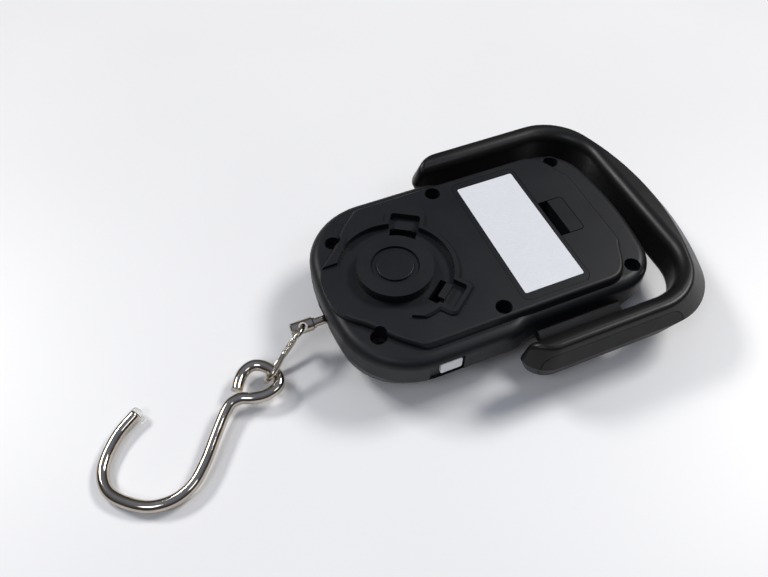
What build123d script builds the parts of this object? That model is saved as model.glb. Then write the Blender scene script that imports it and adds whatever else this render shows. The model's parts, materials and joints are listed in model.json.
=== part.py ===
from build123d import *
import os
from math import atan2, cos, hypot, pi, radians, sin, sqrt

# Digital fish scale lying on its display face, millimetres.
# +X runs from the hook to the handle, +Z up out of the back cover.
# The origin is on the resting plane, under the axis of the tape reel.

# ---- driving dimensions -------------------------------------------------
HEIGHT = 25.0            # display face to the flat of the back cover
SPLIT_Z = 15.0           # parting plane of the two covers
SHOULDER_Z = 22.7        # top of the lower shoulder of the back cover
WALL = 2.0               # cover wall thickness

HOOK_END_X = -25.0
HANDLE_END_X = 83.0
WIDE_HALF = 34.6         # half width at the reel
NARROW_HALF = 32.2       # half width between the handle arms
NECK_X = (24.0, 34.0)    # where the wide part necks down
END_BULGE = (90.0, 120.0)        # arc radius of the hook end and the handle end
END_CORNER = (24.0, 15.0)        # corner radius of the two ends

# Sections of the display-side hull: height, then how far the wide sides, the
# narrow sides, the hook end and the handle end stand back from the outline.
HULL = [(13.0, 0.0, 0.0, 0.0, 0.0), (8.0, 3.6, 1.5, 1.0, 2.0), (3.0, 7.6, 5.5, 4.0, 6.0),
        (0.0, 11.0, 10.0, 8.0, 10.0)]
FLOOR_Z = 2.2            # inside floor of the display cover

BOSS_R = 12.3            # round boss over the tape reel
BOSS_TOP_Z = 27.7
BUTTON_RING_R = 7.76     # opening in the boss for the button
DISH_R = 18.8            # shallow dish that stows the hook bowl
DISH_Z = 24.0
RIM_R = 20.9             # outside of the rim around the dish
RIM_Z = 26.2
RIM_START = -111.0       # degrees
RIM_SWEEP = 251.0
RIM_POINT = 30.0         # how far each pointed end reaches round the dish
RIM_CHAMFER = 0.7        # slope on the rim's outer edge
CLIP_ANGLES = (58.0, -52.0)      # hook clips at the edge of the dish
CLIP_HALF = 5.0

LID_X = (31.9, 56.1)     # battery lid
LID_HALF = 26.9
LID_CORNER = 3.0
LID_T = 1.8
LATCH_X = (59.7, 65.0)
LATCH_HALF = 7.6
TONGUE_Y = (-15.0, 15.0)

CELL_D = 10.5            # AAA cell
CELL_L = 43.5
CELL_X = (38.6, 49.4)
CELL_Z = 17.6
CELL_END = 25.4          # where the positive end of a cell stands

SCREWS = [(-13.9, 20.1), (25.05, 26.0), (72.2, 25.9)]
SEAT_Z = 17.6            # seat of the case screw heads

SHAFT_Z = 11.5           # height of the hook shaft axis
SHAFT_R = 1.5
HEAD_R = 2.3
HEAD_X = (-36.3, -28.7)
HOLE_X = -32.4           # cross hole for the link
BUSH_R = 4.3

LINK_TILT = radians(36.9)      # the cross hole leans towards -Y
LINK_WIRE = 1.8
LINK_R = 4.0                   # centre line radius of the link's ends
LINK_START = -0.35             # where the link's wire passes in the cross hole
LINK_LENGTH = 20.6             # centre line length from the hole to the far end
LINK_DIR = Vector(-0.787, -0.493, -0.370)

HOOK_WIRE = 3.8
HOOK_TILT = 0.056        # rise of the hook's plane towards its eye
HOOK_ORIGIN = Vector(-102.5, 0, HOOK_WIRE / 2)
HOOK_POINTS = [
    (13.2, -4.9), (6.7, -9.7), (1.1, -17.4), (0.0, -22.2), (1.0, -27.0), (4.8, -31.6), (11.2, -35.9),
    (18.2, -36.8), (24.0, -34.6), (29.0, -29.6), (34.0, -22.6), (39.0, -15.9), (41.6, -13.6), (44.8, -13.3),
    (48.6, -14.8), (52.7, -15.4), (56.8, -14.0), (57.97, -10.9), (56.65, -7.65), (54.2, -4.65),
    (51.4, -3.5), (48.2, -4.6), (45.9, -7.2), (44.4, -9.9),
]

REEL_CORE_R = 3.6        # tape core
TAPE_R = 6.75            # outside of the wound tape
TAPE_Z = (14.6, 19.2)
TAPE_T = 0.22
CUP_R = 10.3             # spring cup of the reel
CUP_Z = (19.3, 22.8)
SPINDLE_R = 2.0
SPINDLE_TOP_Z = 22.2
BASE_Z = (12.8, 13.8)    # plate that carries the spindle
TAPE_SCREWS = [(-4.0, 13.6), (-4.0, -13.6), (11.5, 11.5)]
TAB_X = (0.2, 7.4)       # pull tab on the end of the tape
EXIT_X = (-3.2, 8.2)     # recess around the tab

HANDLE_MID_Z = 16.3      # height of the handle's widest outline
HANDLE_H = 8.0           # half height
HANDLE_HALF = (47.5, 45.1)       # half width at mid height and at the top
HANDLE_END = (102.4, 95.7)       # crossbar end at mid height and at the top
HANDLE_START = (24.0, 26.0)      # free ends of the arms, likewise
HANDLE_BULGE = (98.0, 92.0)
HANDLE_CORNER = (22.0, 20.0)
HANDLE_NOSE = 9.0
HANDLE_INNER = 39.0
CROSSBAR_INNER_X = 87.6
INNER_CORNER = 16.0
HANDLE_ROUND = (4.0, 1.6)        # edge radius inside and outside
GRIP_X = (28.0, 78.8)
GRIP_Z = (9.4, 21.4)
GRIP_DEPTH = 2.0
LUG_X = (35.0, 65.0)     # lugs that join the handle to the body
LUG_PROFILE = [(28.9, 13.3), (32.6, 11.2), (39.5, 8.6), (39.5, 10.8), (32.6, 14.8), (28.9, 14.8)]
FLANGE_Z = (13.3, 17.3)

SEAM_STEP = (14.5, 17.0, 30.0, 32.0)   # where the seam rises, stays up and falls
SEAM_RISE = 1.6

BOARD_X = (29.0, 73.0)
BOARD_HALF = 19.0
BOARD_Z = (6.2, 7.4)
BOARD_POSTS = [(31.5, 16.5), (31.5, -16.5), (71.0, 16.5), (71.0, -16.5)]
KEY_X = 65.0
KEY_Y = [-13.0, 0.0, 13.0]
KEY_R = 4.2
LENS_X = (33.5, 55.3)    # display window
LENS_HALF = 18.3
CELL_BOSSES = [(20.5, 4.5), (20.5, -4.5)]          # load cell screws
BRACKET_SCREWS = [(-15.0, 5.2), (-15.0, -5.2)]


# ---- helpers --------------------------------------------------------------
def span(side, a, b):
    """The (low, high) pair of a stretch of Y on one side."""
    return tuple(sorted((side * a, side * b)))


def block(x, y, z):
    """A box from three (low, high) pairs."""
    size = [b - a for a, b in (x, y, z)]
    return Pos((x[0] + x[1]) / 2, (y[0] + y[1]) / 2, (z[0] + z[1]) / 2) * Box(*size)


def post(x, y, z0, z1, r):
    """A vertical cylinder."""
    return Pos(x, y, (z0 + z1) / 2) * Cylinder(r, z1 - z0)


def rod(x0, x1, y, z, r):
    """A cylinder along X."""
    return Pos((x0 + x1) / 2, y, z) * Rot(0, 90, 0) * Cylinder(r, x1 - x0)


def rod_y(x, y0, y1, z, r):
    """A cylinder along Y."""
    return Pos(x, (y0 + y1) / 2, z) * Rot(90, 0, 0) * Cylinder(r, y1 - y0)


def prism(face, z0, z1):
    """A flat face extruded between two heights."""
    return extrude(Pos(0, 0, z0) * face, amount=z1 - z0, dir=(0, 0, 1))


def union(shapes):
    """All the shapes fused into one."""
    whole = shapes[0]
    for shape in shapes[1:]:
        whole = whole + shape
    return whole


def corners(points_half):
    """Points mirrored about the X axis."""
    return [(x, s * y) for x, y in points_half for s in (-1, 1)]


def rounded_plate(x, half, z, radius):
    """A plate with rounded vertical corners."""
    plate = block(x, (-half, half), z)
    return fillet(plate.edges().filter_by(Axis.Z), radius)


def mirrored_face(edges):
    """A face from the +Y half of its outline."""
    other = [mirror(edge, about=Plane.XZ) for edge in edges]
    return make_face(list(edges) + other)


def tangent_corner(end_x, bulge, half, radius, sign):
    """Centre of a corner arc that joins a bulged end to a straight side."""
    cy = half - radius
    cx = end_x - sign * bulge + sign * sqrt((bulge - radius) ** 2 - cy ** 2)
    return cx, cy


def bulged_end(end_x, bulge, half, radius, sign):
    """End arc and corner arc of an outline, and where the side begins."""
    cx, cy = tangent_corner(end_x, bulge, half, radius, sign)
    hub = end_x - sign * bulge
    length = hypot(cx - hub, cy)
    ux, uy = (cx - hub) / length, cy / length
    join = (cx + radius * ux, cy + radius * uy)
    mid_a = atan2(join[1], join[0] - hub) / 2 if sign > 0 else (pi + atan2(join[1], join[0] - hub)) / 2
    mid = (hub + bulge * cos(mid_a), bulge * sin(mid_a))
    corner_a = (atan2(uy, ux) + pi / 2) / 2
    corner_mid = (cx + radius * cos(corner_a), cy + radius * sin(corner_a))
    end_arc = ThreePointArc((end_x, 0), mid, join)
    corner_arc = ThreePointArc(join, corner_mid, (cx, half))
    return [end_arc, corner_arc], (cx, half)


def outline_face(wide_in, narrow_in, hook_in, handle_in):
    """Plan outline with its sides and ends each moved inwards."""
    wide = WIDE_HALF - wide_in
    narrow = NARROW_HALF - narrow_in
    left, start = bulged_end(HOOK_END_X + hook_in, END_BULGE[0] - hook_in, wide, END_CORNER[0] - wide_in, -1)
    right, finish = bulged_end(HANDLE_END_X - handle_in, END_BULGE[1] - handle_in, narrow,
                               END_CORNER[1] - narrow_in, 1)
    a = (NECK_X[0], wide)
    m = (sum(NECK_X) / 2, (wide + narrow) / 2)
    b = (NECK_X[1], narrow)
    neck = [TangentArc(a, m, tangent=(1, 0)), TangentArc(b, m, tangent=(-1, 0))]
    sides = [Line(start, a), Line(b, finish)]
    return mirrored_face(left + sides + neck + right)


def body_face(inset=0.0):
    """Plan outline of the two covers, moved inwards by the inset."""
    return outline_face(inset, inset, inset, inset)


def hull_solid(inset, floor):
    """The display cover's outer form below its straight wall, moved inwards."""
    parts = []
    for low, high in zip(HULL[1:], HULL):
        faces = [Pos(0, 0, z) * outline_face(*[step + inset for step in steps]) for z, *steps in (low, high)]
        parts.append(loft(faces, ruled=True))
    return union(parts) & block((-60, 120), (-60, 60), (floor, HULL[0][0]))


# ---- covers ---------------------------------------------------------------
def plateau_face(grow=0.0):
    """The raised flat of the back cover, cut back around the corner screws."""
    wider = 1 + grow / 29.4
    front = [(-23.5, 0), (-21.5, 9.5), (-15.8, 15.2), (-9.0, 23.4), (-4.0, 27.9), (4.0, 29.4)]
    front = [(x, y * wider) for x, y in front]
    back = [(61.0, 29.4), (67.5 + grow / 2, 26.5), (71.5 + grow, 18.5), (73.0 + grow, 0)]
    back = [(x, y * wider) for x, y in back]
    edges = [Spline(front, tangents=[(0, 1), (1, 0)]), Line(front[-1], back[0]),
             Spline(back, tangents=[(1, 0), (0, -1)])]
    return mirrored_face(edges)


def polar(radius, angle):
    """Point at a radius and an angle in degrees."""
    return (radius * cos(radians(angle)), radius * sin(radians(angle)))


def rim_ring():
    """Rim around the dish, open towards the hook and pointed at both ends."""
    low, high = RIM_START, RIM_START + RIM_SWEEP
    inside, outside, far = DISH_R - 1, RIM_R + 1, 3 * RIM_R
    sector = [(0, 0), polar(inside, low), polar(outside, low + RIM_POINT)]
    sector += [polar(far, low + RIM_POINT + RIM_SWEEP * i / 6) for i in range(6)]
    sector += [polar(outside, high - RIM_POINT), polar(inside, high)]
    ring = post(0, 0, DISH_Z - 0.5, RIM_Z, RIM_R)
    ring = chamfer(ring.faces().sort_by(Axis.Z)[-1].edges(), RIM_CHAMFER) - post(0, 0, 0, 40, DISH_R - 0.5)
    return ring & prism(make_face(Polyline(*sector, close=True)), 0, 40)


def clip_place(angle):
    """Frame of a hook clip: X radial, at the dish's edge."""
    return Rot(0, 0, angle)


def clip_pocket(angle):
    """Space for a hook clip outside the dish."""
    face = block((13.6, 23.2), (-CLIP_HALF, CLIP_HALF), (DISH_Z, HEIGHT + 5))
    return clip_place(angle) * fillet(face.edges().filter_by(Axis.Z), 1.2)


def clip_wall(angle):
    """The rim's step around a clip pocket."""
    wall = block((17.5, 25.2), (-CLIP_HALF - 2.0, CLIP_HALF + 2.0), (DISH_Z - 0.5, RIM_Z))
    wall = fillet(wall.edges().filter_by(Axis.Z), 2.4)
    return clip_place(angle) * chamfer(wall.faces().sort_by(Axis.Z)[-1].edges(), RIM_CHAMFER)


def clip_slot(angle):
    """Opening under the clip finger."""
    slot = block((14.0, 17.6), (-CLIP_HALF + 0.6, CLIP_HALF - 0.6), (SHOULDER_Z - 3, HEIGHT + 5))
    return clip_place(angle) * slot


def clip_finger(angle):
    """Springy finger that holds the stowed hook."""
    finger = block((17.6, 18.9), (-3.0, 3.0), (SHOULDER_Z - 2.5, RIM_Z - 0.4))
    nose = block((16.6, 18.9), (-3.0, 3.0), (RIM_Z - 1.4, RIM_Z - 0.4))
    return clip_place(angle) * (finger + nose)


def back_shell():
    """Outer skin and hollow of the back cover."""
    base = prism(body_face(), SPLIT_Z, SHOULDER_Z)
    base = fillet(base.faces().sort_by(Axis.Z)[-1].edges(), 3.5)
    low = Pos(0, 0, SHOULDER_Z - 1.5) * plateau_face(1.2)
    top = loft([low, Pos(0, 0, HEIGHT) * plateau_face()], ruled=True)
    top = fillet(top.faces().sort_by(Axis.Z)[-1].edges(), 1.2)
    hollow = prism(body_face(WALL), SPLIT_Z - 1, SHOULDER_Z - WALL)
    hollow = fillet(hollow.faces().sort_by(Axis.Z)[-1].edges(), 2.4)
    return base + top - hollow


def compartment():
    """Walls and floor of the battery compartment."""
    x = (LID_X[0] - 1.9, LID_X[1] + 1.6)
    outer = block(x, (-LID_HALF - 1.3, LID_HALF + 1.3), (10.8, HEIGHT - 0.6))
    latch_x = (LID_X[1], LATCH_X[1] + 1.6)
    return outer + block(latch_x, (-LATCH_HALF - 1.4, LATCH_HALF + 1.4), (16.4, HEIGHT - 0.6))


def compartment_hollow():
    """Space for the cells, the lid and its latch."""
    cells = block((LID_X[0] - 0.1, LID_X[1] + 0.15), (-LID_HALF - 0.1, LID_HALF + 0.1), (12.0, HEIGHT + 1))
    cells = fillet(cells.edges().filter_by(Axis.Z), LID_CORNER)
    latch_x = (LID_X[1] - 1, LATCH_X[1] + 0.25)
    latch = block(latch_x, (-LATCH_HALF - 0.3, LATCH_HALF + 0.3), (17.4, HEIGHT + 1))
    latch = fillet(latch.edges().filter_by(Axis.Z).sort_by(Axis.X)[-2:], 1.5)
    tongue_x = (LID_X[0] - 1.1, LID_X[0] + 1)
    tongues = [block(tongue_x, (y - 3.4, y + 3.4), (21.0, 23.3)) for y in TONGUE_Y]
    return union([cells, latch] + tongues)


def lug_window():
    """Notches in the top edge of the display cover for the handle's lugs."""
    x = (LUG_X[0] - 0.15, LUG_X[1] + 0.15)
    return [block(x, span(side, 28.0, 36.0), (10.9, SPLIT_Z + 1)) for side in (-1, 1)]


def seam_band(grow=0.0):
    """Stretch of side wall where the seam steps up beside the handle's free ends."""
    x0, x1, x2, x3 = SEAM_STEP
    top = SPLIT_Z + SEAM_RISE + grow
    outline = Polyline((x0 - grow, SPLIT_Z), (x1 - grow, top), (x2 + grow, top), (x3 + grow, SPLIT_Z),
                       (x3 + grow, SPLIT_Z - 1), (x0 - grow, SPLIT_Z - 1), close=True)
    band = extrude(Plane.XZ * make_face(outline), amount=50, both=True)
    outer = prism(body_face(), SPLIT_Z - 1, SHOULDER_Z)
    return band & (outer - prism(body_face(WALL - 0.1 + grow), 0, HEIGHT))


def tape_exit():
    """Recess for the end of the tape in the near side, and the slit behind it."""
    recess = block(EXIT_X, (-37, 1.2 - WIDE_HALF), (TAPE_Z[0] - 2.2, TAPE_Z[1] + 0.8))
    slit = block((TAPE_R - 0.3, TAPE_R + 0.7), (-37, -30), (TAPE_Z[0] - 0.3, TAPE_Z[1] + 0.3))
    return recess + slit


def shaft_opening():
    """Opening in the hook end for the shaft's bush, closed by the back cover."""
    x = (HOOK_END_X - 1, HOOK_END_X + 3.6)
    reach = BUSH_R + 0.1
    return rod(x[0], x[1], 0, SHAFT_Z, reach) + block(x, (-reach, reach), (SHAFT_Z, SPLIT_Z + 0.9))


def back_cover():
    """Rear cover with the reel boss, the hook dish and the battery compartment."""
    beside_boss = post(0, 0, DISH_Z - 1, HEIGHT + 7, BOSS_R)
    cover = back_shell() + compartment() + post(0, 0, DISH_Z - 2, BOSS_TOP_Z, BOSS_R)
    cover = cover - (post(0, 0, DISH_Z, HEIGHT + 6, DISH_R) - beside_boss)
    channel = block((HOOK_END_X - 1, 0), (-10.0, 10.0), (DISH_Z, HEIGHT + 6))
    cover = cover - (channel - post(0, 0, DISH_Z - 1, HEIGHT + 7, DISH_R - 1))
    cover = cover + rim_ring() + union([clip_wall(a) for a in CLIP_ANGLES])
    cover = cover - union([clip_pocket(a) - post(0, 0, 0, 40, BOSS_R) for a in CLIP_ANGLES])
    cover = cover - (post(0, 0, DISH_Z, RIM_Z + 1, DISH_R) - beside_boss)
    for x, y in corners(SCREWS):
        cover = cover + post(x, y, SPLIT_Z + 0.1, SHOULDER_Z - 1, 3.9)
    for angle in CLIP_ANGLES:
        cover = cover - clip_slot(angle) + clip_finger(angle)
    well = post(0, 0, SPLIT_Z - 1, BOSS_TOP_Z - 1.4, 11.0)
    ring = post(0, 0, BOSS_TOP_Z - 2, BOSS_TOP_Z + 1, BUTTON_RING_R)
    cuts = [well, ring, compartment_hollow(), tape_exit(), shaft_opening(), seam_band(0.06)]
    for x, y in corners(SCREWS):
        cuts.append(post(x, y, SEAT_Z, HEIGHT + 1, 2.65))
        cuts.append(post(x, y, SPLIT_Z - 1, SEAT_Z + 1, 1.5))
    for x, y in TAPE_SCREWS:
        cover = cover + post(x, y, 16.05, SHOULDER_Z - 1, 2.4)
        cuts.append(post(x, y, SPLIT_Z, 19.5, 0.8))
    for cut in cuts:
        cover = cover - cut
    return cover


def front_cover():
    """Display-side cover."""
    outer = hull_solid(0.0, 0.0) + prism(body_face(), HULL[0][0], SPLIT_Z)
    hollow = hull_solid(WALL, FLOOR_Z) + prism(body_face(WALL), HULL[0][0], SPLIT_Z + 1)
    bosses = [post(x, y, 0, SPLIT_Z - 0.05, 3.6) for x, y in corners(SCREWS)]
    bosses += [post(x, y, 1.0, 3.35, 2.6) for x, y in CELL_BOSSES]
    bosses += [post(x, y, 1.0, BOARD_Z[0] - 0.05, 1.7) for x, y in BOARD_POSTS]
    cover = outer - hollow + (union(bosses) & outer) + seam_band()
    window = block((LENS_X[0] + 1.9, LENS_X[1] - 1.9), (2.3 - LENS_HALF, LENS_HALF - 2.3), (-1, 4))
    pocket = block((LENS_X[0] - 0.1, LENS_X[1] + 0.1), (-LENS_HALF - 0.1, LENS_HALF + 0.1), (-1, 1.6))
    cuts = [window, pocket, tape_exit(), shaft_opening()] + lug_window()
    for y in KEY_Y:
        cuts.append(post(KEY_X, y, -1, 4, KEY_R + 0.15))
        cuts.append(post(KEY_X, y, -1, 0.7, KEY_R + 1.0))
    for x, y in corners(SCREWS):
        cuts.append(post(x, y, 7.5, SPLIT_Z + 1, 1.2))
    for x, y in CELL_BOSSES + BOARD_POSTS:
        cuts.append(post(x, y, 1.2, 8, 0.75))
    for cut in cuts:
        cover = cover - cut
    return cover


# ---- display and keys -------------------------------------------------------
def display_lens():
    """Clear window over the display."""
    return rounded_plate(LENS_X, LENS_HALF, (0.4, 1.55), 0.8)


def lcd_panel():
    """Glass sandwich of the display."""
    return block((LENS_X[0] + 0.9, LENS_X[1] - 0.9), (0.8 - LENS_HALF, LENS_HALF - 0.8), (2.4, 4.6))


def lcd_connectors():
    """Two rubber strips between the panel and the board."""
    return [block((x, x + 1.6), (-16, 16), (4.65, BOARD_Z[0] - 0.05)) for x in (35.0, 52.2)]


def circuit_board():
    """Printed circuit board with its screw holes."""
    board = block(BOARD_X, (-BOARD_HALF, BOARD_HALF), BOARD_Z)
    board = fillet(board.edges().filter_by(Axis.Z), 2.0)
    for x, y in BOARD_POSTS:
        board = board - post(x, y, 5, 9, 1.1)
    return board


def board_screws():
    """Four small screws that hold the board."""
    return [post(x, y, BOARD_Z[1] + 0.05, BOARD_Z[1] + 1.2, 1.7) + post(x, y, 2.6, BOARD_Z[1] + 0.1, 0.7)
            for x, y in BOARD_POSTS]


def chip_blob():
    """Moulded controller chip."""
    chip = post(42.0, 6.0, BOARD_Z[1] + 0.05, BOARD_Z[1] + 1.5, 5.0)
    return fillet(chip.edges().sort_by(Axis.Z)[-1], 1.0)


def key_switches():
    """Tactile switches under the board."""
    case = block((KEY_X - 3, KEY_X + 3), (-3, 3), (4.6, BOARD_Z[0] - 0.05))
    switch = case + post(KEY_X, 0, 3.9, 4.7, 1.7)
    return [Pos(0, y, 0) * switch for y in KEY_Y]


def key_cap(y):
    """Push key with a retaining flange behind the cover."""
    cap = post(KEY_X, y, 0.6, 2.6, KEY_R)
    cap = fillet(cap.edges().sort_by(Axis.Z)[0], 0.5)
    return cap + post(KEY_X, y, 2.35, 3.2, KEY_R + 0.9)


# ---- battery compartment ------------------------------------------------------
def battery_lid():
    """Lid with two tongues and a folded spring latch."""
    lid = rounded_plate(LID_X, LID_HALF, (HEIGHT - LID_T, HEIGHT), LID_CORNER)
    for y in TONGUE_Y:
        lid = lid + block((LID_X[0] - 0.7, LID_X[0] + 2), (y - 3, y + 3), (21.5, 22.6))
        lid = lid + block((LID_X[0] + 0.4, LID_X[0] + 2), (y - 3, y + 3), (22.5, 23.3))
    x0, x1 = LATCH_X
    y = (-LATCH_HALF, LATCH_HALF)
    inner_leg = block((LID_X[1] - 1.2, LID_X[1]), y, (18.6, HEIGHT - LID_T + 0.1))
    bend = block((LID_X[1] - 1.2, x0 + 1.2), y, (17.6, 18.8))
    outer_leg = block((x0, x0 + 1.2), y, (18.6, HEIGHT))
    pad = block((x0, x1), y, (HEIGHT - 1.3, HEIGHT))
    pad = fillet(pad.edges().filter_by(Axis.Z).sort_by(Axis.X)[-2:], 1.2)
    catch = block((x0 + 1.1, x0 + 2.0), (-4, 4), (20.4, 21.4))
    return lid + inner_leg + bend + outer_leg + pad + catch


def lid_label():
    """Blank paper label on the lid."""
    return rounded_plate((33.6, 54.6), 24.2, (HEIGHT + 0.02, HEIGHT + 0.14), 0.6)


def battery(x, direction):
    """AAA cell along Y with its nub on the +Y or -Y end."""
    can = rod_y(x, -CELL_L / 2, CELL_L / 2, CELL_Z, CELL_D / 2)
    can = fillet(can.edges(), 0.6)
    nub = rod_y(x, CELL_L / 2 - 0.1, CELL_L / 2 + 0.9, CELL_Z, 1.9)
    cell = can + nub
    shift = CELL_END - CELL_L / 2
    if direction < 0:
        cell = mirror(cell, about=Plane.XZ)
        return Pos(0, -shift, 0) * cell
    return Pos(0, shift, 0) * cell


def contact_plates():
    """Four sprung-steel contact plates in the ends of the compartment."""
    return [block((x - 4.4, x + 4.4), span(s, 26.4, 26.8), (13.2, 21.8)) for x in CELL_X for s in (-1, 1)]


def coil(radius, wire, pitch, turns, plane):
    """A helical spring on the plane's normal."""
    path = Helix(pitch=pitch, height=pitch * turns, radius=radius)
    section = Plane(origin=path @ 0, z_dir=path % 0) * Circle(wire / 2)
    return plane.location * sweep(section, path=path, is_frenet=True)


def contact_springs():
    """Two coil springs that press on the flat ends of the cells."""
    springs = []
    for x, s in ((CELL_X[0], -1), (CELL_X[1], 1)):
        plane = Plane(origin=(x, s * 26.0, CELL_Z), x_dir=(1, 0, 0), z_dir=(0, -s, 0))
        springs.append(coil(3.0, 0.6, 1.25, 5, plane))
    return springs


# ---- weighing parts ---------------------------------------------------------
def load_cell():
    """Double-cut bending beam, screwed down at its +X end."""
    beam = block((-17.5, 24.5), (-8, 8), (3.4, 8.6))
    for x, s in ((-6.5, 1), (9.5, -1)):
        beam = beam - block((x, x + 2.2), span(s, -4.5, 9), (3, 9))
    beam = beam - post(2.2, 0, 3, 9, 2.6)
    for x, y in CELL_BOSSES:
        beam = beam - post(x, y, 3, 9, 1.2)
    for x, y in BRACKET_SCREWS:
        beam = beam - post(x, y, 4.2, 9, 0.9)
    return beam


def cell_screws():
    """Two screws from the load cell into the front cover."""
    return [post(x, y, 8.65, 9.9, 2.2) + post(x, y, 1.6, 8.7, 0.7) for x, y in CELL_BOSSES]


def strain_gauges():
    """Two foil gauges glued to the beam's web."""
    return [block((-1.5, 6.0), span(s, 5.0, 7.2), (8.62, 8.8)) for s in (-1, 1)]


def pull_bracket():
    """Steel angle that carries the shaft on the load cell's free end."""
    foot = block((-20.0, -12.6), (-7, 7), (8.65, 10.2))
    plate = block((-20.0, -18.2), (-7, 7), (8.65, 17.0))
    bracket = foot + plate
    bracket = fillet(bracket.edges().filter_by(Axis.X).group_by(Axis.Z)[-1], 2.5)
    bracket = bracket - rod(-21, -17, 0, SHAFT_Z, SHAFT_R + 0.06)
    bracket = bracket - block((-18.2, -12), (-3.2, 3.2), (8, 11))
    for x, y in BRACKET_SCREWS:
        bracket = bracket - post(x, y, 8, 11, 1.1)
    return bracket


def bracket_screws():
    """Two screws from the bracket into the load cell."""
    return [post(x, y, 10.25, 11.3, 1.3) + post(x, y, 4.6, 10.3, 0.8) for x, y in BRACKET_SCREWS]


def shaft_bush():
    """Flanged plastic bush in the hook end of the covers."""
    bush = rod(HOOK_END_X + 1.2, HOOK_END_X + 3.1, 0, SHAFT_Z, BUSH_R)
    return bush - rod(-26, -20, 0, SHAFT_Z, SHAFT_R + 0.08)


def hook_shaft():
    """Swivel pin with a cross-drilled head."""
    head = rod(HEAD_X[0], HEAD_X[1], 0, SHAFT_Z, HEAD_R)
    head = chamfer(head.edges(), 0.35)
    collar = rod(-28.8, -28.0, 0, SHAFT_Z, SHAFT_R + 0.35)
    neck = rod(-28.8, -14.2, 0, SHAFT_Z, SHAFT_R)
    shaft = head + collar + neck
    normal = Vector(0, -sin(LINK_TILT), cos(LINK_TILT))
    drill = Plane(origin=(HOLE_X, 0, SHAFT_Z), z_dir=normal).location
    shaft = shaft - drill * Cylinder(1.5, 8)
    for s in (-1, 1):
        mouth = Pos(0, 0, s * 2.3) * Rot(0 if s > 0 else 180, 0, 0) * Cone(0.9, 2.4, 1.5)
        shaft = shaft - drill * mouth
    return shaft


def shaft_washer():
    """Washer between the bracket and the lock nut."""
    washer = rod(-18.1, -17.3, 0, SHAFT_Z, 2.8)
    return washer - rod(-19, -16, 0, SHAFT_Z, SHAFT_R + 0.06)


def shaft_nut():
    """Lock nut on the inner end of the shaft."""
    nut = Pos(-17.25, 0, SHAFT_Z) * Rot(0, 90, 0) * extrude(RegularPolygon(2.8, 6), 2.4)
    return nut - rod(-18, -13, 0, SHAFT_Z, SHAFT_R)


# ---- link and hook -----------------------------------------------------------
def link_frame():
    """Plane of the link: X along it, Y across it, origin in the cross hole."""
    across = Vector(0, -sin(LINK_TILT), cos(LINK_TILT))
    return Plane(origin=(HOLE_X, 0, SHAFT_Z), x_dir=LINK_DIR, z_dir=LINK_DIR.cross(across))


def link():
    """Long wire link through the head of the shaft."""
    r = LINK_R
    near, far, middle = LINK_START + r, LINK_LENGTH - r, LINK_LENGTH / 2
    section = Plane(origin=(middle, r, 0), z_dir=(1, 0, 0)) * Circle(LINK_WIRE / 2)
    path = Wire([
        Line((middle, r), (far, r)),
        ThreePointArc((far, r), (LINK_LENGTH, 0), (far, -r)),
        Line((far, -r), (near, -r)),
        ThreePointArc((near, -r), (LINK_START, 0), (near, r)),
        Line((near, r), (middle, r)),
    ])
    return link_frame().location * sweep(section, path=path)


def hook_frame():
    """Plane that the bent wire lies in, raised towards the eye."""
    along = Vector(1, 0, HOOK_TILT).normalized()
    return Plane(origin=HOOK_ORIGIN, x_dir=along, z_dir=along.cross(Vector(0, 1, 0)))


def s_hook():
    """Plain bent-wire hook with a closed eye."""
    path = Spline([(x, y) for x, y in HOOK_POINTS])
    section = Plane(origin=path @ 0, z_dir=path % 0) * Circle(HOOK_WIRE / 2)
    return hook_frame().location * sweep(section, path=path)


def hook_tip_cap():
    """Small clear cap on the hook's tip."""
    path = Spline([(x, y) for x, y in HOOK_POINTS])
    tip = path @ 0
    back = path % 0
    plane = Plane(origin=tip - back * 0.05, z_dir=-back)
    cap = Pos(0, 0, 0.8) * Cylinder(HOOK_WIRE / 2, 1.6)
    cap = fillet(cap.edges().sort_by(Axis.Z)[-1], 1.2)
    return hook_frame().location * (plane.location * cap)


# ---- handle ----------------------------------------------------------------
def handle_face(level, inset):
    """Outer outline at mid height (0) or at the top (1), closed across its open end."""
    half = HANDLE_HALF[level] - inset
    bulge = HANDLE_BULGE[level] - inset
    right, start = bulged_end(HANDLE_END[level] - inset, bulge, half, HANDLE_CORNER[level] - inset, 1)
    x0 = HANDLE_START[level] + inset
    nose = HANDLE_NOSE
    edges = right + [Line(start, (x0 + nose, half)),
                     TangentArc((x0 + nose, half), (x0, half - nose), tangent=(-1, 0)),
                     Line((x0, half - nose), (x0, 0))]
    return mirrored_face(edges)


def handle_solid(inset=0.0):
    """Both tapered halves of the outer form."""
    middle = Pos(0, 0, HANDLE_MID_Z) * handle_face(0, inset)
    top = Pos(0, 0, HANDLE_MID_Z + HANDLE_H) * handle_face(1, inset)
    half = loft([middle, top], ruled=True)
    return half + mirror(half, about=Plane.XY.offset(HANDLE_MID_Z))


def handle_hollow():
    """Space between the arms and inside the crossbar."""
    inside = block((0, CROSSBAR_INNER_X), (-HANDLE_INNER, HANDLE_INNER), (-2, HEIGHT + 3))
    return fillet(inside.edges().filter_by(Axis.Z).sort_by(Axis.X)[-2:], INNER_CORNER)


def grip_prism(side, grow=0.0):
    """Rounded slot shape seen from the side, through one arm."""
    length = GRIP_X[1] - GRIP_X[0] + 2 * grow
    height = GRIP_Z[1] - GRIP_Z[0] + 2 * grow
    plane = Plane(origin=(sum(GRIP_X) / 2, 0, sum(GRIP_Z) / 2), x_dir=(1, 0, 0), z_dir=(0, side, 0))
    return extrude(plane * RectangleRounded(length, height, height / 2 - 0.01), amount=60)


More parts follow.
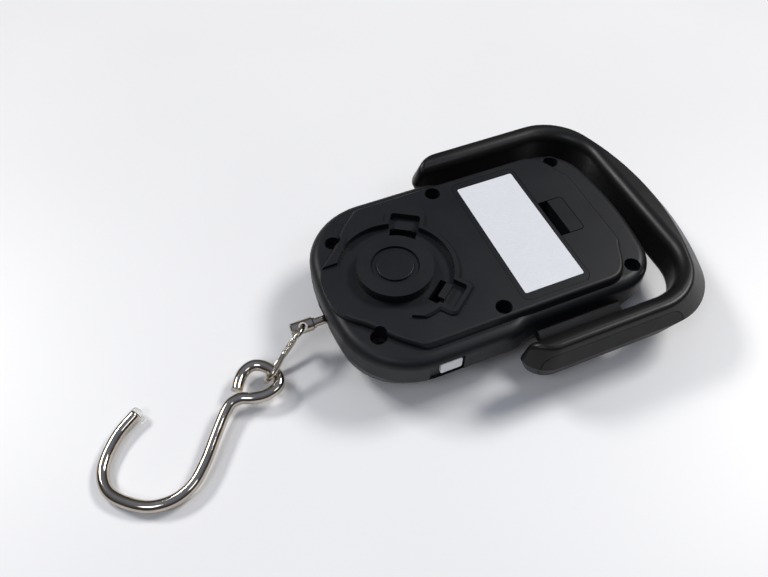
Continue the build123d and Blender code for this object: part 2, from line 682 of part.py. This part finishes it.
def lug(side):
    """Arm's lug and the flange that the covers trap."""
    outline = make_face(Polyline(*[(side * y, z) for y, z in LUG_PROFILE], close=True))
    plane = Plane(origin=(LUG_X[0], 0, 0), x_dir=(0, 1, 0), z_dir=(1, 0, 0))
    web = extrude(plane * outline, amount=LUG_X[1] - LUG_X[0])
    return web + block((LUG_X[0] - 1.8, LUG_X[1] + 1.8), span(side, 28.6, 30.0), FLANGE_Z)


def rims(solid):
    """Edges of the handle's top and bottom faces."""
    return [e for e in solid.edges() if abs(e.center().Z - HANDLE_MID_Z) > HANDLE_H - 0.01]


def in_hollow(edge):
    """True for an edge around the inside of the handle."""
    middle = edge @ 0.5
    return abs(middle.Y) < HANDLE_INNER + 0.1 and middle.X < CROSSBAR_INNER_X + 0.1


def handle():
    """One-piece handle with its lugs."""
    solid = handle_solid()
    skin = solid - handle_solid(GRIP_DEPTH + 0.1)
    solid = solid - handle_hollow()
    solid = fillet([e for e in rims(solid) if in_hollow(e)], HANDLE_ROUND[0])
    solid = fillet([e for e in rims(solid) if not in_hollow(e)], HANDLE_ROUND[1])
    for side in (-1, 1):
        solid = solid - (skin & grip_prism(side, 0.2)) + lug(side)
    return solid


def grip_insert(side):
    """Soft insert set into the outside of one arm."""
    skin = handle_solid() - handle_solid(GRIP_DEPTH)
    return skin & grip_prism(side)


# ---- tape measure -------------------------------------------------------------
def tape_base():
    """Plate with the fixed spindle of the reel and three screw pillars."""
    base = block((-6.4, -1.6), (-13.6, 13.6), BASE_Z) + post(0, 0, BASE_Z[0], BASE_Z[1], 10.4)
    base = base + Rot(0, 0, 45) * block((0, 16.3), (-2.4, 2.4), BASE_Z)
    for x, y in TAPE_SCREWS:
        base = base + post(x, y, BASE_Z[0], 16.0, 2.4) - post(x, y, 12, 17, 1.0)
    return base + post(0, 0, BASE_Z[1] - 0.1, SPINDLE_TOP_Z, SPINDLE_R)


def tape_reel():
    """Reel: lower disc, core and the open cup of the mainspring."""
    z0, z1 = CUP_Z
    reel = post(0, 0, BASE_Z[1] + 0.1, TAPE_Z[0] - 0.1, 9.6)
    reel = reel + post(0, 0, BASE_Z[1] + 0.2, z0 + 0.1, REEL_CORE_R)
    reel = reel + post(0, 0, z0, z0 + 0.6, CUP_R)
    reel = reel + (post(0, 0, z0 + 0.5, z1, CUP_R) - post(0, 0, z0, z1 + 1, CUP_R - 0.9))
    return reel - post(0, 0, 0, 40, SPINDLE_R + 0.06)


def tape_coil():
    """Wound part of the tape."""
    return post(0, 0, TAPE_Z[0], TAPE_Z[1], TAPE_R) - post(0, 0, 0, 40, REEL_CORE_R + 0.03)


def tape_blade():
    """Straight run of tape from the coil to the side of the case."""
    return block((TAPE_R + 0.08, TAPE_R + 0.08 + TAPE_T), (1.15 - WIDE_HALF, 0), TAPE_Z)


def tape_end_tab():
    """Pull tab on the free end of the tape."""
    tab = block(TAB_X, (0.15 - WIDE_HALF, 1.1 - WIDE_HALF), (TAPE_Z[0], TAPE_Z[1] + 0.2))
    return fillet(tab.edges().filter_by(Axis.Y), 0.8)


def tape_button():
    """Stepped button over the reel with a retaining flange under the boss."""
    button = post(0, 0, 24.6, 26.2, 9.4) + post(0, 0, 26.1, 27.0, 7.6) + post(0, 0, 26.9, BOSS_TOP_Z, 6.0)
    button = fillet(button.edges().group_by(Axis.Z)[-1], 0.35)
    return button - post(0, 0, 24, 25.2, 2.3)


def button_spring():
    """Small coil spring between the spindle and the button."""
    return coil(1.5, 0.45, 0.6, 4, Plane(origin=(0, 0, SPINDLE_TOP_Z + 0.25), z_dir=(0, 0, 1)))


def mainspring():
    """Spiral built from half circles of growing radius."""
    turns, pitch, r0, thick = 6, 1.1, 2.5, 0.4
    z0, z1 = CUP_Z[0] + 0.75, CUP_Z[1] - 0.3
    halves = []
    for i in range(turns * 2):
        r = r0 + pitch * i / 2
        shift = pitch / 4 if i % 2 == 0 else -pitch / 4
        ring = post(shift, 0, z0, z1, r + thick / 2) - post(shift, 0, z0 - 1, z1 + 1, r - thick / 2)
        y = (0, 20) if i % 2 == 0 else (-20, 0)
        halves.append(ring & block((-20, 20), y, (z0 - 1, z1 + 1)))
    return union(halves)


# ---- wiring and fasteners -------------------------------------------------------
def lead(points, r, radius):
    """A wire along straight runs joined by arcs."""
    path = FilletPolyline(*points, radius=radius)
    section = Plane(origin=path @ 0, z_dir=path % 0) * Circle(r)
    return sweep(section, path=path)


def gauge_wires():
    """Four fine leads from the gauges to the board."""
    wires = []
    for y in (-7.9, -7.2, 7.2, 7.9):
        wires.append(lead([(6.1, y, 8.9), (32.0, y, 8.9), (32.0, y, 7.45)], 0.2, 0.8))
    return wires


def battery_wires():
    """Two leads from the contacts to the board."""
    wires = []
    for s in (-1, 1):
        points = [(58.6, s * 24.0, 13.5), (61.0, s * 24.0, 13.5), (61.0, s * 24.0, 9.5),
                  (61.0, s * 17.0, 9.5), (61.0, s * 17.0, 7.45)]
        wires.append(lead(points, 0.45, 0.9))
    return wires


def case_screws():
    """Six self-tapping screws that close the covers."""
    z = SEAT_Z + 0.05
    screw = post(0, 0, z, z + 1.55, 2.4) + post(0, 0, 8.0, z + 0.05, 1.15)
    for half_x, half_y in ((1.5, 0.3), (0.3, 1.5)):
        screw = screw - block((-half_x, half_x), (-half_y, half_y), (z + 0.9, z + 2))
    return [Pos(x, y, 0) * screw for x, y in corners(SCREWS)]


def tape_screws():
    """Three small screws that hold the tape base to the back cover."""
    return [post(x, y, 11.55, BASE_Z[0] - 0.05, 1.7) + post(x, y, 12.7, 19.2, 0.75) for x, y in TAPE_SCREWS]


# ---- assembly ---------------------------------------------------------------
def build():
    """Every node by name."""
    nodes = {
        "front_cover": front_cover(), "back_cover": back_cover(), "display_lens": display_lens(),
        "lcd_panel": lcd_panel(), "lcd_connectors": Compound(lcd_connectors()),
        "circuit_board": circuit_board(), "board_screws": Compound(board_screws()), "chip_blob": chip_blob(),
        "key_switches": Compound(key_switches()),
        "battery_lid": battery_lid(), "lid_label": lid_label(),
        "battery_a": battery(CELL_X[0], 1), "battery_b": battery(CELL_X[1], -1),
        "contact_plates": Compound(contact_plates()), "contact_springs": Compound(contact_springs()),
        "load_cell": load_cell(), "cell_screws": Compound(cell_screws()),
        "strain_gauges": Compound(strain_gauges()), "pull_bracket": pull_bracket(),
        "bracket_screws": Compound(bracket_screws()), "shaft_bush": shaft_bush(),
        "hook_shaft": hook_shaft(), "shaft_washer": shaft_washer(), "shaft_nut": shaft_nut(),
        "link": link(), "s_hook": s_hook(), "hook_tip_cap": hook_tip_cap(),
        "handle": handle(), "grip_insert_near": grip_insert(-1), "grip_insert_far": grip_insert(1),
        "tape_spring": mainspring(), "tape_screws": Compound(tape_screws()),
        "gauge_wires": Compound(gauge_wires()), "battery_wires": Compound(battery_wires()),
        "case_screws": Compound(case_screws()),
    }
    nodes.update({
        "tape_base": tape_base(), "tape_reel": tape_reel(), "tape_coil": tape_coil(),
        "tape_blade": tape_blade(),
        "tape_end_tab": tape_end_tab(), "tape_button": tape_button(), "button_spring": button_spring(),
    })
    for name, y in zip(("units_key", "power_key", "hold_key"), KEY_Y):
        nodes[name] = key_cap(y)
    return nodes


os.makedirs("parts", exist_ok=True)
for node, shape in build().items():
    export_step(shape, "parts/" + node + ".step")
    print(node, round(shape.volume, 1))
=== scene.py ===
import json
from math import cos, pi, radians, sin

import bmesh
import bpy
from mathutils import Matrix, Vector

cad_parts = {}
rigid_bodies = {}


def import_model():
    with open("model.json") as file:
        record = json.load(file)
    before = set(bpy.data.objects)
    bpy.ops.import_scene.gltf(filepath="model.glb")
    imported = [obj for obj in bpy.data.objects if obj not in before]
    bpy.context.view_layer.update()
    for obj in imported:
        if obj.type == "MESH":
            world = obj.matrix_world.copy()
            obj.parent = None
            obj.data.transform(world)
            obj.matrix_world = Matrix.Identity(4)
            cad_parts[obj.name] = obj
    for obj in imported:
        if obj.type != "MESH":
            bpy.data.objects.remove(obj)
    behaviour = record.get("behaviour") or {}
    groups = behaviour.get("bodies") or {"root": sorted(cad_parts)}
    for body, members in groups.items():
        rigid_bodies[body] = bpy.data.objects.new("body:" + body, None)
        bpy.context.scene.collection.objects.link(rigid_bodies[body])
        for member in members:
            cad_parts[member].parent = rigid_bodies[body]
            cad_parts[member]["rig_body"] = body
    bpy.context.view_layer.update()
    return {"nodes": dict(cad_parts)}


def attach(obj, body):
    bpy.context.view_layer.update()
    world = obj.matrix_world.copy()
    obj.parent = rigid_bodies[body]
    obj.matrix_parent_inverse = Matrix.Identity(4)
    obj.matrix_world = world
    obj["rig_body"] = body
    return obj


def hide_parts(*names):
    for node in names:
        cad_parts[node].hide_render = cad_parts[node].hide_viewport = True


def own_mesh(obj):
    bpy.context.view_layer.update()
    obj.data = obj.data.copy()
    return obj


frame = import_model()

MM = 0.001

# Places and sizes repeated from the part, in millimetres.
HOLE = Vector((-32.4, 0.0, 11.5))        # cross hole of the shaft
LINK_DIR = Vector((-0.787, -0.493, -0.370)).normalized()
LINK_ACROSS = Vector((0.0, -0.6004, 0.7997))
LINK_R = 4.0                             # centre line radius of its ends
LINK_START = -0.35
LINK_LENGTH = 20.6
LINK_WIRE_R = 0.86
LINK_TWIST = radians(9.0)                # the bent wire is a little twisted past the shaft
TWIST_IN, TWIST_OUT = (1.9, 6.0), (9.0, 16.0)
LINK_STEPS = 12                          # points along each strand and round each end
RIB_SPAN = (0.4, 6.9)                    # where the ribbed end lies on its strand
RIB_COUNT = 9
RIB_STEPS = 12                           # rings in each rib
HOOK_ORIGIN = Vector((-102.5, 0.0, 1.9))
HOOK_TILT = 0.056
HOOK_WIRE_R = 1.88
HOOK_POINTS = [
    (13.2, -4.9), (6.7, -9.7), (1.1, -17.4), (0.0, -22.2), (1.0, -27.0), (4.8, -31.6),
    (11.2, -35.9), (18.2, -36.8), (24.0, -34.6), (29.0, -29.6), (34.0, -22.6), (39.0, -15.9),
    (41.6, -13.6), (44.8, -13.3), (48.6, -14.8), (52.7, -15.4), (56.8, -14.0), (57.97, -10.9),
    (56.65, -7.65), (54.2, -4.65), (51.4, -3.5), (48.2, -4.6), (45.9, -7.2), (44.4, -9.9),
]
SPRING_R = 1.5
SPRING_WIRE_R = 0.2
SPRING_TURNS = 4
SPRING_STEPS = 20                        # points in each turn
SPRING_Z = (22.46, 24.82)                # centre line of its lowest and highest turn

CAMERA_PLACE = Vector((-58.08, -132.20, 206.74))
CAMERA_TURN = (radians(37.029), radians(0.241), radians(-22.618))
CAMERA_LENS = 34.28
SENSOR = 36.0

# Room colours by height: at the horizon, half way up and overhead.
ROOM_LOW = (0.045, 0.034, 0.026, 1.0)
ROOM_MIDDLE = (0.10, 0.088, 0.078, 1.0)
ROOM_HIGH = (0.24, 0.27, 0.34, 1.0)


# ---- materials ----------------------------------------------------------------
def nodes_of(name):
    """A new node material, its tree and its shader."""
    material = bpy.data.materials.new(name)
    material.use_nodes = True
    tree = material.node_tree
    return material, tree, tree.nodes["Principled BSDF"]


def noise(tree, scale, detail=3.0, roughness=0.5, stretch=None):
    """Noise in object space, with scale in features per metre."""
    place = tree.nodes.new("ShaderNodeTexCoord")
    texture = tree.nodes.new("ShaderNodeTexNoise")
    texture.inputs["Scale"].default_value = scale
    texture.inputs["Detail"].default_value = detail
    texture.inputs["Roughness"].default_value = roughness
    if stretch:
        mapping = tree.nodes.new("ShaderNodeMapping")
        mapping.inputs["Scale"].default_value = stretch
        tree.links.new(place.outputs["Object"], mapping.inputs["Vector"])
        tree.links.new(mapping.outputs["Vector"], texture.inputs["Vector"])
    else:
        tree.links.new(place.outputs["Object"], texture.inputs["Vector"])
    return texture.outputs["Fac"]


def ramp(tree, source, low, high, start=0.3, end=0.7):
    """Colour ramp between two greys or colours."""
    node = tree.nodes.new("ShaderNodeValToRGB")
    for element, place, value in zip(node.color_ramp.elements, (start, end), (low, high)):
        element.position = place
        color = tuple(value) if hasattr(value, "__len__") else (value, value, value)
        element.color = color + (1.0,)
    tree.links.new(source, node.inputs["Fac"])
    return node.outputs["Color"]


def vary(tree, socket, source, low, high):
    """Drives a socket between two values or colours."""
    tree.links.new(ramp(tree, source, low, high), socket)


def bump(tree, shader, source, strength, distance, under=None):
    """Bump from a height, chained over another bump if given."""
    node = tree.nodes.new("ShaderNodeBump")
    node.inputs["Strength"].default_value = strength
    node.inputs["Distance"].default_value = distance
    tree.links.new(source, node.inputs["Height"])
    if under:
        tree.links.new(under, node.inputs["Normal"])
    tree.links.new(node.outputs["Normal"], shader.inputs["Normal"])
    return node.outputs["Normal"]


def moulded(name, dark, light, rough, grain=2600.0, depth=0.00003, strength=0.35,
            specular=0.29):
    """Moulded plastic: fine spark-eroded grain, slow colour drift and rubbed patches."""
    material, tree, shader = nodes_of(name)
    vary(tree, shader.inputs["Base Color"], noise(tree, 45.0, 5.0), dark, light)
    vary(tree, shader.inputs["Roughness"], noise(tree, 70.0, 6.0, 0.6), *rough)
    coarse = bump(tree, shader, noise(tree, 320.0, 3.0), strength * 0.35, depth * 2)
    bump(tree, shader, noise(tree, grain, 2.0, 0.6), strength, depth, coarse)
    shader.inputs["Specular IOR Level"].default_value = specular
    return material


def metal(name, color, rough, grain=900.0, stretch=None, strength=0.08):
    """Metal with handling smudges and fine marks."""
    material, tree, shader = nodes_of(name)
    low = tuple(c * 0.86 for c in color)
    vary(tree, shader.inputs["Base Color"], noise(tree, 160.0, 4.0), low, color)
    vary(tree, shader.inputs["Roughness"], noise(tree, 260.0, 6.0, 0.65), *rough)
    bump(tree, shader, noise(tree, grain, 4.0, 0.6, stretch), strength, 0.00004)
    shader.inputs["Metallic"].default_value = 1.0
    return material


def clear(name, color, rough):
    """Clear moulding or glass with faint surface marks."""
    material, tree, shader = nodes_of(name)
    low = tuple(c * 0.92 for c in color)
    vary(tree, shader.inputs["Base Color"], noise(tree, 220.0), low, color)
    vary(tree, shader.inputs["Roughness"], noise(tree, 500.0, 5.0), rough, rough * 2.2)
    bump(tree, shader, noise(tree, 700.0), 0.05, 0.00004)
    shader.inputs["Transmission Weight"].default_value = 0.85
    shader.inputs["IOR"].default_value = 1.48
    return material


def fibre_paper(name, dark, light):
    """Coated paper: fibres under a soft varnish."""
    material, tree, shader = nodes_of(name)
    fibres = noise(tree, 900.0, 6.0, 0.7, (1.0, 4.0, 1.0))
    vary(tree, shader.inputs["Base Color"], fibres, dark, light)
    vary(tree, shader.inputs["Roughness"], noise(tree, 120.0, 5.0), 0.28, 0.42)
    bump(tree, shader, noise(tree, 1500.0, 4.0), 0.12, 0.00003)
    shader.inputs["Coat Weight"].default_value = 0.25
    shader.inputs["Coat Roughness"].default_value = 0.2
    return material


CASE = moulded("case_black", (0.0046, 0.0054, 0.0074), (0.0068, 0.0078, 0.0102), (0.40, 0.50))
HANDLE = moulded("handle_black", (0.0042, 0.0043, 0.0049), (0.0062, 0.0063, 0.0070),
                 (0.33, 0.43), 1900.0)
GRIP = moulded("grip_rubber", (0.0085, 0.0082, 0.0080), (0.0125, 0.0121, 0.0118),
               (0.52, 0.66), 1500.0, 0.00004, 0.5, 0.35)
LID = moulded("lid_black", (0.0048, 0.0056, 0.0075), (0.0070, 0.0080, 0.0104),
              (0.36, 0.46), 2300.0)
KEY = moulded("key_grey", (0.19, 0.20, 0.21), (0.24, 0.25, 0.26), (0.35, 0.5))
WHITE = moulded("tab_white", (0.74, 0.75, 0.78), (0.84, 0.85, 0.88),
                (0.22, 0.36), 1800.0, 0.00002, 0.2)
REEL = moulded("reel_plastic", (0.50, 0.50, 0.48), (0.58, 0.58, 0.56), (0.4, 0.55))
INNER = moulded("inner_plastic", (0.03, 0.03, 0.032), (0.045, 0.045, 0.048), (0.45, 0.6))
STRIP = moulded("inner_rubber", (0.42, 0.42, 0.40), (0.52, 0.52, 0.50), (0.6, 0.75))
BOARD = moulded("board_green", (0.008, 0.075, 0.022), (0.014, 0.105, 0.035), (0.25, 0.4), 1200.0)
CHIP = moulded("chip_black", (0.006, 0.006, 0.006), (0.011, 0.011, 0.011), (0.35, 0.5))
WRAP = moulded("cell_wrap", (0.02, 0.027, 0.045), (0.032, 0.042, 0.065),
               (0.2, 0.32), 1000.0, 0.00002, 0.15)
FOIL = moulded("gauge_foil", (0.35, 0.17, 0.03), (0.45, 0.24, 0.05), (0.3, 0.45))
WIRE = moulded("wire_cover", (0.35, 0.012, 0.01), (0.45, 0.02, 0.015), (0.3, 0.42))
PAPER = fibre_paper("label_paper", (0.64, 0.66, 0.70), (0.72, 0.735, 0.77))
CHROME = metal("hook_chrome", (0.56, 0.51, 0.45), (0.05, 0.12))
NICKEL = metal("link_nickel", (0.54, 0.49, 0.42), (0.10, 0.20), 1400.0)
STEEL = metal("bright_steel", (0.56, 0.57, 0.59), (0.22, 0.38), 1500.0, (1.0, 6.0, 1.0), 0.15)
BEAM = metal("beam_aluminium", (0.70, 0.71, 0.73), (0.28, 0.42), 1200.0, (8.0, 1.0, 1.0), 0.2)
BLACK_SCREW = metal("black_screw", (0.05, 0.05, 0.052), (0.35, 0.5), 1500.0)
SPRING = metal("spring_steel", (0.34, 0.35, 0.37), (0.25, 0.4), 1300.0)
TAPE = moulded("tape_white", (0.60, 0.60, 0.52), (0.70, 0.70, 0.62), (0.25, 0.38))
WINDOW = clear("clear_window", (0.86, 0.89, 0.91), 0.05)
DISPLAY = moulded("display_glass", (0.16, 0.18, 0.15), (0.20, 0.22, 0.19),
                  (0.08, 0.16), 800.0, 0.00001, 0.05)
TIP = clear("tip_clear", (0.92, 0.93, 0.92), 0.12)

FINISH = {
    "front_cover": CASE, "back_cover": CASE, "handle": HANDLE, "battery_lid": LID,
    "tape_button": LID, "units_key": KEY, "power_key": KEY, "hold_key": KEY,
    "grip_insert_near": GRIP, "grip_insert_far": GRIP, "display_lens": WINDOW,
    "lcd_panel": DISPLAY, "lcd_connectors": STRIP, "circuit_board": BOARD, "board_screws": STEEL,
    "chip_blob": CHIP, "key_switches": CHIP, "lid_label": PAPER, "battery_a": WRAP,
    "battery_b": WRAP, "contact_plates": STEEL, "contact_springs": STEEL, "load_cell": BEAM,
    "cell_screws": STEEL, "strain_gauges": FOIL, "pull_bracket": STEEL, "bracket_screws": STEEL,
    "shaft_bush": INNER, "hook_shaft": NICKEL, "shaft_washer": STEEL, "shaft_nut": STEEL,
    "link": NICKEL, "s_hook": CHROME, "hook_tip_cap": TIP, "tape_spring": SPRING,
    "tape_screws": STEEL, "gauge_wires": WIRE, "battery_wires": WIRE, "case_screws": BLACK_SCREW,
    "tape_base": INNER, "tape_reel": REEL, "tape_coil": TAPE, "tape_blade": TAPE,
    "tape_end_tab": WHITE, "button_spring": SPRING,
}
for name, obj in frame["nodes"].items():
    obj.data.materials.clear()
    obj.data.materials.append(FINISH[name])


# ---- mesh helpers ---------------------------------------------------------------
def piece(name, mesh, material, body, slot, *stands_for):
    """A finished piece: smooth shaded, riding its body and standing for CAD nodes."""
    obj = bpy.data.objects.new(name, mesh)
    bpy.context.scene.collection.objects.link(obj)
    mesh.materials.append(material)
    mesh.polygons.foreach_set("use_smooth", [True] * len(mesh.polygons))
    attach(obj, body)
    if stands_for:
        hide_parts(*stands_for)
    return obj


def smooth_path(points, per_span, closed=False):
    """Centripetal curve through the points."""
    n = len(points)
    spans = n if closed else n - 1
    out = []
    for i in range(spans):
        if closed:
            p = [points[(i + k) % n] for k in (-1, 0, 1, 2)]
        else:
            first = points[i - 1] if i else points[0] * 2 - points[1]
            last = points[i + 2] if i + 2 < n else points[-1] * 2 - points[-2]
            p = [first, points[i], points[i + 1], last]
        t = [0.0]
        for a, b in zip(p, p[1:]):
            t.append(t[-1] + (b - a).length ** 0.5)
        for k in range(per_span):
            u = t[1] + (t[2] - t[1]) * k / per_span
            a1 = p[0].lerp(p[1], (u - t[0]) / (t[1] - t[0]))
            a2 = p[1].lerp(p[2], (u - t[1]) / (t[2] - t[1]))
            a3 = p[2].lerp(p[3], (u - t[2]) / (t[3] - t[2]))
            b1 = a1.lerp(a2, (u - t[0]) / (t[2] - t[0]))
            b2 = a2.lerp(a3, (u - t[1]) / (t[3] - t[1]))
            out.append(b1.lerp(b2, (u - t[1]) / (t[2] - t[1])))
    if not closed:
        out.append(points[-1].copy())
    return out


def tube(name, path, radii, sides=28, closed=False):
    """Tube mesh along a path given in millimetres, with a radius at every point."""
    count = len(path)
    bm = bmesh.new()
    normal = (path[1] - path[0]).normalized().orthogonal().normalized()
    rings = []
    for i, centre in enumerate(path):
        ahead = path[(i + 1) % count] if closed else path[min(i + 1, count - 1)]
        behind = path[(i - 1) % count] if closed else path[max(i - 1, 0)]
        heading = (ahead - behind).normalized()
        normal = (normal - heading * normal.dot(heading)).normalized()
        side = heading.cross(normal)
        ring = []
        for k in range(sides):
            a = 2 * pi * k / sides
            ring.append(bm.verts.new((centre + (normal * cos(a) + side * sin(a)) * radii[i]) * MM))
        rings.append(ring)
    for a, b in zip(rings, rings[1:]):
        for k in range(sides):
            bm.faces.new((a[k], a[(k + 1) % sides], b[(k + 1) % sides], b[k]))
    if closed:
        a, b = rings[-1], rings[0]
        shift = min(range(sides), key=lambda s: (a[0].co - b[s].co).length)
        for k in range(sides):
            far = b[(k + 1 + shift) % sides]
            bm.faces.new((a[k], a[(k + 1) % sides], far, b[(k + shift) % sides]))
    else:
        bm.faces.new(list(reversed(rings[0])))
        bm.faces.new(rings[-1])
    mesh = bpy.data.meshes.new(name)
    bmesh.ops.recalc_face_normals(bm, faces=bm.faces)
    bm.to_mesh(mesh)
    bm.free()
    return mesh


# ---- hook -----------------------------------------------------------------------
def hook_points():
    """The hook's centre line in the row frame."""
    along = Vector((1.0, 0.0, HOOK_TILT)).normalized()
    return [HOOK_ORIGIN + along * x + Vector((0.0, y, 0.0)) for x, y in HOOK_POINTS]


def build_hook():
    """Bent wire with slightly rounded cut ends."""
    path = smooth_path(hook_points(), 10)
    radii = [HOOK_WIRE_R] * len(path)
    end_dir = (path[-1] - path[-2]).normalized()
    tip_dir = (path[0] - path[1]).normalized()
    path = [path[0] + tip_dir * 0.02] + path + [path[-1] + end_dir * 0.18]
    radii = [HOOK_WIRE_R * 0.93] + radii + [HOOK_WIRE_R * 0.86]
    mesh = tube("hook_wire", path, radii, 32)
    piece("hook_wire", mesh, CHROME, "hook_body", "hook_chrome", "s_hook")


# ---- link -----------------------------------------------------------------------
def eased(x, start, end):
    """0 before start, 1 after end, and smooth between them."""
    share = min(max((x - start) / (end - start), 0.0), 1.0)
    return share * share * (3 - 2 * share)


def link_place(x, y):
    """Point of the link's centre surface: x along it, y across it."""
    turn = LINK_TWIST * eased(x, *TWIST_IN) * (1 - eased(x, *TWIST_OUT))
    normal = LINK_DIR.cross(LINK_ACROSS)
    across = LINK_ACROSS * cos(turn) + normal * sin(turn)
    return HOLE + LINK_DIR * x + across * y


def build_link():
    """Wire link whose two ends overlap on one strand; the under end is ribbed."""
    near, far = LINK_START + LINK_R, LINK_LENGTH - LINK_R
    shares = [i / LINK_STEPS for i in range(LINK_STEPS + 1)]
    points = [(far - (far - near) * t, -LINK_R) for t in shares]
    for t in shares[1:]:
        a = -pi / 2 - pi * t
        points.append((near + LINK_R * cos(a), LINK_R * sin(a)))
    points += [(near + (far - near) * t, LINK_R) for t in shares[1:]]
    for t in shares[1:-1]:
        a = pi / 2 - pi * t
        points.append((far + LINK_R * cos(a), LINK_R * sin(a)))
    path = smooth_path([link_place(x, y) for x, y in points], 3, True)
    radii = []
    for p in path:
        x, y = (p - HOLE).dot(LINK_DIR), (p - HOLE).dot(LINK_ACROSS)
        under_ribs = y > 0 and near + 0.5 < x < near + 6.8
        radii.append(LINK_WIRE_R * (0.90 if under_ribs else 1.0))
    mesh = tube("link_wire", path, radii, 20, True)
    piece("link_wire", mesh, NICKEL, "link_body", "link_steel", "link")
    ribs = []
    rib_radii = []
    steps = RIB_COUNT * RIB_STEPS
    for i in range(steps + 1):
        x = near + RIB_SPAN[0] + (RIB_SPAN[1] - RIB_SPAN[0]) * i / steps
        ribs.append(link_place(x, LINK_R))
        wave = 0.5 + 0.5 * cos(2 * pi * i / RIB_STEPS)
        edge = min(1.0, i / 4, (steps - i) / 4)
        rib_radii.append(LINK_WIRE_R * (0.84 + 0.22 * edge * wave ** 0.7))
    mesh = tube("link_ribs", ribs, rib_radii, 20)
    piece("link_ribs", mesh, NICKEL, "link_body", "link_steel")


def build_spring():
    """Coil spring under the round pad."""
    path = []
    count = SPRING_TURNS * SPRING_STEPS
    for i in range(count + 1):
        a = 2 * pi * i / SPRING_STEPS
        height = SPRING_Z[0] + (SPRING_Z[1] - SPRING_Z[0]) * i / count
        path.append(Vector((SPRING_R * cos(a), SPRING_R * sin(a), height)))
    mesh = tube("spring_wire", path, [SPRING_WIRE_R] * len(path), 10)
    body = frame["nodes"]["button_spring"]["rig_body"]
    spring = piece("spring_wire", mesh, SPRING, body, "spring_steel", "button_spring")
    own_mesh(spring)


build_hook()
build_link()
build_spring()


# ---- room -----------------------------------------------------------------------
def build_floor():
    """Plain pale table top."""
    bm = bmesh.new()
    bmesh.ops.create_grid(bm, x_segments=8, y_segments=8, size=3.0)
    mesh = bpy.data.meshes.new("floor")
    bm.to_mesh(mesh)
    bm.free()
    floor = bpy.data.objects.new("floor", mesh)
    floor.location = (0.0, 0.0, -0.0002)
    bpy.context.scene.collection.objects.link(floor)
    material, tree, shader = nodes_of("floor_pale")
    mottle = noise(tree, 6.0, 2.0)
    vary(tree, shader.inputs["Base Color"], mottle, (0.80, 0.80, 0.81), (0.84, 0.84, 0.85))
    shader.inputs["Roughness"].default_value = 0.42
    mesh.materials.append(material)


def area_light(name, place, target, size, power, color):
    """Soft rectangular light aimed at a point."""
    data = bpy.data.lights.new(name, "AREA")
    data.shape = "RECTANGLE"
    data.size, data.size_y = size
    data.energy = power
    data.color = color
    obj = bpy.data.objects.new(name, data)
    obj.location = place
    aim = Vector(target) - Vector(place)
    obj.rotation_euler = aim.to_track_quat("-Z", "Y").to_euler()
    bpy.context.scene.collection.objects.link(obj)


def build_light():
    """Soft ceiling panels around the object under a dim room."""
    middle = (0.0, 0.0, 0.0)
    area_light("back_right", (1.10, 0.15, 1.20), (0.03, 0.0, 0.0), (0.55, 0.35), 15.0,
               (1.0, 0.985, 0.955))
    area_light("back_left", (-0.75, 0.95, 1.20), middle, (0.55, 0.30), 14.0, (1.0, 0.99, 0.97))
    area_light("front_left", (-0.80, -0.45, 1.25), middle, (0.50, 0.35), 3.6, (0.90, 0.94, 1.0))
    area_light("front_right", (0.60, -0.80, 1.25), middle, (0.45, 0.30), 1.6, (0.93, 0.96, 1.0))
    world = bpy.data.worlds.new("room")
    world.use_nodes = True
    tree = world.node_tree
    place = tree.nodes.new("ShaderNodeTexCoord")
    split = tree.nodes.new("ShaderNodeSeparateXYZ")
    tree.links.new(place.outputs["Generated"], split.inputs["Vector"])
    shade = tree.nodes.new("ShaderNodeValToRGB")
    shade.color_ramp.elements[0].position = 0.05
    shade.color_ramp.elements[0].color = ROOM_LOW
    shade.color_ramp.elements[1].position = 0.95
    shade.color_ramp.elements[1].color = ROOM_HIGH
    shade.color_ramp.elements.new(0.5).color = ROOM_MIDDLE
    tree.links.new(split.outputs["Z"], shade.inputs["Fac"])
    tree.links.new(shade.outputs["Color"], tree.nodes["Background"].inputs["Color"])
    tree.nodes["Background"].inputs["Strength"].default_value = 1.0
    bpy.context.scene.world = world


def build_camera():
    """Camera at the photograph's view."""
    data = bpy.data.cameras.new("camera")
    data.lens = CAMERA_LENS
    data.sensor_width = SENSOR
    data.clip_start = 0.01
    camera = bpy.data.objects.new("camera", data)
    camera.location = CAMERA_PLACE * MM
    camera.rotation_euler = CAMERA_TURN
    bpy.context.scene.collection.objects.link(camera)
    bpy.context.scene.camera = camera


build_floor()
build_light()
build_camera()
bpy.context.scene.view_settings.view_transform = "Standard"
